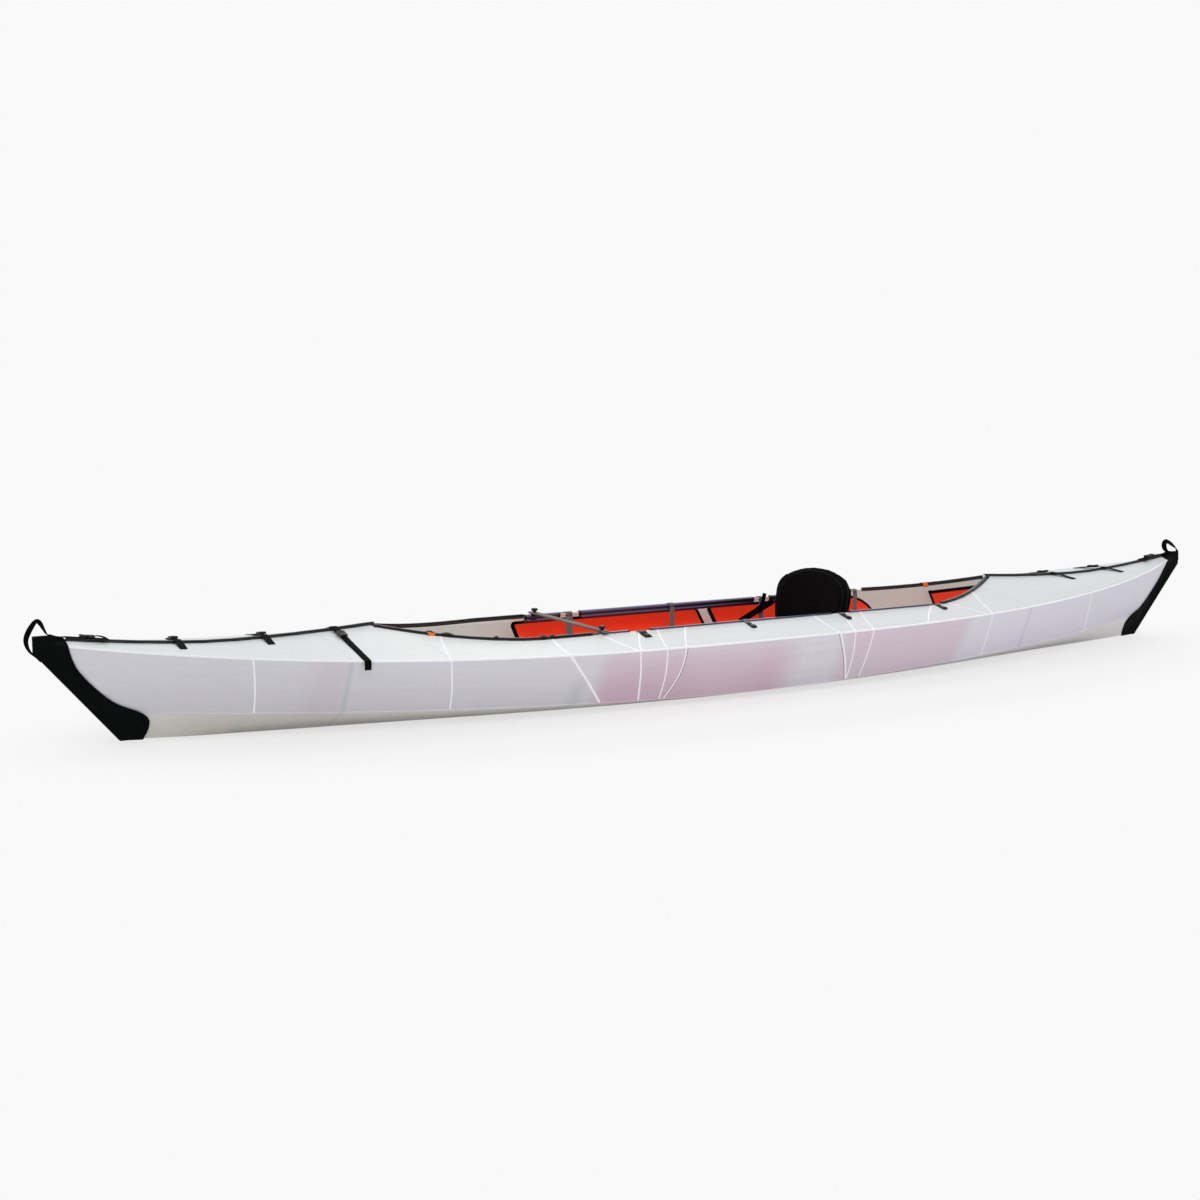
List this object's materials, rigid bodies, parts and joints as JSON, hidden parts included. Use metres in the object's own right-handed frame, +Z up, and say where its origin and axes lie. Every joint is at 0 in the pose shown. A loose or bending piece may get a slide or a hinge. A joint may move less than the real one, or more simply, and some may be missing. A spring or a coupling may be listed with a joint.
{
  "type": "folding kayak",
  "caption": "Single-seat folding kayak of creased white plastic sheet, opened out, with black stem caps, clamped gunwale rails, orange floorboards and a padded seat.",
  "frame": {"origin": "middle of the flat bottom, at midships on the centre line, on its outer face", "axes": "+X along the boat towards the stern, +Y to starboard, +Z up"},
  "size_m": [4.9339, 0.8398, 0.4131],
  "materials": {
    "hull_sheet": "satin, slightly translucent",
    "cap_rubber": "matt",
    "edge_trim": "satin",
    "rail": "gloss",
    "clip_webbing": "woven",
    "strap_webbing": "woven",
    "brace": "ribbed satin",
    "knob": "satin",
    "floorboard": "satin",
    "seat_fabric": "woven over foam"
  },
  "bodies": {
    "hull": {"hull_floor": "hull_sheet", "bow_bilge_port": "hull_sheet", "middle_bilge_port": "hull_sheet", "stern_bilge_port": "hull_sheet", "side_panel_port": "hull_sheet", "bow_deck_port": "hull_sheet", "side_deck_port": "hull_sheet", "stern_deck_port": "hull_sheet", "bow_bilge_starboard": "hull_sheet", "middle_bilge_starboard": "hull_sheet", "stern_bilge_starboard": "hull_sheet", "side_panel_starboard": "hull_sheet", "bow_deck_starboard": "hull_sheet", "side_deck_starboard": "hull_sheet", "stern_deck_starboard": "hull_sheet", "bow_cap": "cap_rubber", "bow_seam_trim": "edge_trim", "cockpit_trim_bow_port": "edge_trim", "bow_floor_wing_port": "floorboard", "cockpit_trim_bow_starboard": "edge_trim", "bow_floor_wing_starboard": "floorboard", "bow_floorboard": "floorboard", "bow_bulkhead": "floorboard", "bow_grab_loop": "strap_webbing", "stern_cap": "cap_rubber", "stern_seam_trim": "edge_trim", "cockpit_trim_stern_port": "edge_trim", "stern_floor_wing_port": "floorboard", "cockpit_trim_stern_starboard": "edge_trim", "stern_floor_wing_starboard": "floorboard", "stern_floorboard": "floorboard", "stern_bulkhead": "floorboard", "stern_grab_loop": "strap_webbing", "rail_fore_port": "rail", "rail_middle_port": "rail", "rail_aft_port": "rail", "rail_clip_port_1": "clip_webbing", "rail_clip_port_2": "clip_webbing", "rail_clip_port_3": "clip_webbing", "rail_clip_port_4": "clip_webbing", "seat_strap_port": "strap_webbing", "rail_fore_starboard": "rail", "rail_middle_starboard": "rail", "rail_aft_starboard": "rail", "rail_clip_starboard_1": "clip_webbing", "rail_clip_starboard_2": "clip_webbing", "rail_clip_starboard_3": "clip_webbing", "rail_clip_starboard_4": "clip_webbing", "seat_strap_starboard": "strap_webbing", "seat_pad": "seat_fabric", "bow_deck_strap_1": "strap_webbing", "bow_deck_strap_2": "strap_webbing", "bow_deck_strap_3": "strap_webbing", "stern_deck_strap_1": "strap_webbing", "stern_deck_strap_2": "strap_webbing"},
    "seat_back": {"seat_back": "seat_fabric"},
    "brace": {"brace_bar": "brace"},
    "knob_port": {"brace_knob_port": "knob"},
    "knob_starboard": {"brace_knob_starboard": "knob"}
  },
  "joints": [
    {"name": "seat_back_fold", "type": "hinge", "parent": "hull", "child": "seat_back", "pos_m": [0.46, 0, 0.064], "axis": [0, 1, 0], "range_deg": [-8, 30]},
    {"name": "brace_swing", "type": "hinge", "parent": "hull", "child": "brace", "pos_m": [-0.605, 0.2492, 0.275], "axis": [0, 0, 1], "range_deg": [-70, 0]},
    {"name": "knob_turn_port", "type": "hinge", "parent": "hull", "child": "knob_port", "pos_m": [-0.605, -0.2492, 0.275], "axis": [0, 0, 1], "continuous": true},
    {"name": "knob_turn_starboard", "type": "hinge", "parent": "hull", "child": "knob_starboard", "pos_m": [-0.605, 0.2492, 0.275], "axis": [0, 0, 1], "continuous": true}
  ]
}
